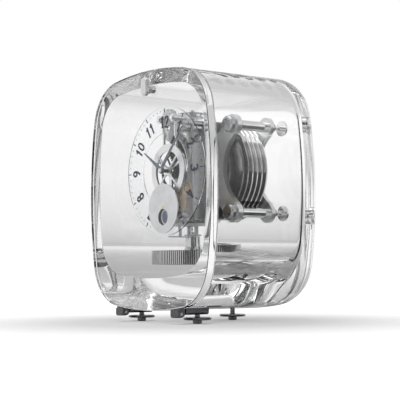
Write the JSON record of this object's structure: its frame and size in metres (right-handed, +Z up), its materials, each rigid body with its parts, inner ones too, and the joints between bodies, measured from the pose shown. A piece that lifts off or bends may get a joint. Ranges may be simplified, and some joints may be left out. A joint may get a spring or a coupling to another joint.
{
  "type": "atmospheric clock",
  "caption": "Atmospheric clock: crystal case with hinged door, bellows-wound movement, torsion balance, transparent dial ring, moon plate and month ring.",
  "frame": {"origin": "centre of the footprint's bounding box, at the feet's underside", "axes": "+Z up, +Y to the back, +X to the clock's right as seen from the front; the dial faces -Y"},
  "size_m": [0.211, 0.15, 0.254],
  "materials": {
    "crystal": "polished clear crystal",
    "door_crystal": "polished clear crystal",
    "dial_glass": "clear, polished edge",
    "chrome": "polished",
    "steel": "brushed",
    "dark_steel": "dark polished",
    "brass": "brushed, gilt",
    "ink": "satin dark blue",
    "white": "satin white",
    "moon_blue": "satin blue grey",
    "silver_plate": "brushed, silvered",
    "bellows_metal": "bright turned"
  },
  "bodies": {
    "case": {"crystal_case": "crystal", "rear_foot_bush": "chrome", "foot_bracket_left": "chrome", "foot_bracket_right": "chrome", "hinge_pins": "steel", "door_catch": "chrome", "wall_studs": "chrome", "rear_caps": "chrome", "bellows_front_plate": "steel", "bellows_rear_plate": "steel", "frame_rods": "chrome", "frame_caps": "chrome", "frame_collars": "chrome", "frame_nuts": "chrome", "bellows": "bellows_metal", "movement_front_plate": "steel", "movement_back_plate": "steel", "movement_top_plate": "steel", "movement_bottom_plate": "steel", "plate_pillars": "chrome", "plate_screws": "chrome", "spacer_posts": "chrome", "dial_posts": "chrome", "dial_screws": "chrome", "bridge_plate": "steel", "centre_arm": "chrome", "dial_ring": "dial_glass", "minute_track": "ink", "numerals": "ink", "moon_plate": "silver_plate", "moon_pegs": "chrome", "wheel_studs": "chrome", "suspension_post": "chrome", "torsion_wire": "steel", "guide_ring": "steel"},
    "door": {"door_glass": "door_crystal", "door_knob": "chrome", "hinge_shoe_left": "chrome", "hinge_shoe_right": "chrome"},
    "foot_front_left": {"foot_front_left": "chrome"},
    "foot_front_right": {"foot_front_right": "chrome"},
    "foot_rear": {"foot_rear_disc": "chrome"},
    "minute": {"minute_hand": "ink", "hand_nut": "chrome", "centre_wheel": "brass"},
    "hour": {"hour_hand": "ink", "hour_wheel": "dark_steel"},
    "motion": {"motion_wheel": "steel"},
    "calendar": {"calendar_wheel": "brass"},
    "month": {"month_ring": "white"},
    "moon": {"moon_disc": "moon_blue"},
    "barrel": {"barrel": "brass"},
    "third": {"third_wheel": "brass"},
    "escape": {"escape_wheel": "brass"},
    "pallet": {"pallet_lever": "steel"},
    "balance": {"balance_hub": "chrome", "balance_ring": "chrome"},
    "regulator": {"regulator_disc": "chrome"},
    "lock": {"lock_lever": "steel"},
    "bellows_end": {"bellows_end": "steel"}
  },
  "joints": [
    {"name": "door_hinge", "type": "hinge", "parent": "case", "child": "door", "pos_m": [0, -0.0678, 0.0099], "axis": [1, 0, 0], "range_deg": [0, 80]},
    {"name": "foot_front_left_turn", "type": "hinge", "parent": "case", "child": "foot_front_left", "pos_m": [-0.048, -0.0443, 0.005], "axis": [0, 0, 1], "continuous": true},
    {"name": "foot_front_right_turn", "type": "hinge", "parent": "case", "child": "foot_front_right", "pos_m": [0.048, -0.0443, 0.005], "axis": [0, 0, 1], "continuous": true},
    {"name": "foot_rear_turn", "type": "hinge", "parent": "case", "child": "foot_rear", "pos_m": [0, 0.0388, 0.005], "axis": [0, 0, 1], "continuous": true},
    {"name": "minute_spin", "type": "hinge", "parent": "case", "child": "minute", "pos_m": [0, -0.029, 0.1535], "axis": [0, 1, 0], "continuous": true},
    {"name": "hour_spin", "type": "hinge", "parent": "case", "child": "hour", "pos_m": [0, -0.035, 0.1535], "axis": [0, 1, 0], "continuous": true},
    {"name": "motion_spin", "type": "hinge", "parent": "case", "child": "motion", "pos_m": [0.00602, -0.031, 0.17596], "axis": [0, 1, 0], "continuous": true},
    {"name": "calendar_spin", "type": "hinge", "parent": "case", "child": "calendar", "pos_m": [0.0103, -0.034, 0.12289], "axis": [0, 1, 0], "continuous": true},
    {"name": "month_spin", "type": "hinge", "parent": "case", "child": "month", "pos_m": [0, -0.04, 0.1535], "axis": [0, 1, 0], "continuous": true},
    {"name": "moon_spin", "type": "hinge", "parent": "case", "child": "moon", "pos_m": [0, -0.045, 0.118], "axis": [0, 1, 0], "continuous": true},
    {"name": "barrel_spin", "type": "hinge", "parent": "case", "child": "barrel", "pos_m": [0, -0.021, 0.1735], "axis": [0, 1, 0], "continuous": true},
    {"name": "third_spin", "type": "hinge", "parent": "case", "child": "third", "pos_m": [0.00784, -0.021, 0.1351], "axis": [0, 1, 0], "continuous": true},
    {"name": "escape_spin", "type": "hinge", "parent": "case", "child": "escape", "pos_m": [0, -0.021, 0.1235], "axis": [0, 1, 0], "continuous": true},
    {"name": "pallet_rock", "type": "hinge", "parent": "case", "child": "pallet", "pos_m": [0, -0.021, 0.1125], "axis": [0, 1, 0], "range_deg": [-4, 4]},
    {"name": "balance_swing", "type": "hinge", "parent": "case", "child": "balance", "pos_m": [0, -0.009, 0.07], "axis": [0, 0, 1], "range_deg": [-180, 180], "stiffness_Nm_per_rad": 0.000004},
    {"name": "regulator_turn", "type": "hinge", "parent": "case", "child": "regulator", "pos_m": [0, -0.009, 0.212], "axis": [0, 0, 1], "range_deg": [-90, 90]},
    {"name": "lock_turn", "type": "hinge", "parent": "case", "child": "lock", "pos_m": [0, -0.025, 0.086], "axis": [0, 0, 1], "range_deg": [-25, 25]},
    {"name": "bellows_stroke", "type": "slide", "parent": "case", "child": "bellows_end", "axis": [0, -1, 0], "range_m": [0, 0.004], "deforming": ["bellows"]}
  ],
  "couplings": [
    {"joint": "hour_spin", "follows": "minute_spin", "ratio": 0.083333},
    {"joint": "motion_spin", "follows": "minute_spin", "ratio": -0.41667},
    {"joint": "calendar_spin", "follows": "minute_spin", "ratio": -0.125},
    {"joint": "month_spin", "follows": "minute_spin", "ratio": 0.00011408},
    {"joint": "moon_spin", "follows": "minute_spin", "ratio": 0.00070549},
    {"joint": "barrel_spin", "follows": "minute_spin", "ratio": -0.25},
    {"joint": "third_spin", "follows": "minute_spin", "ratio": -3},
    {"joint": "escape_spin", "follows": "minute_spin", "ratio": 4}
  ]
}
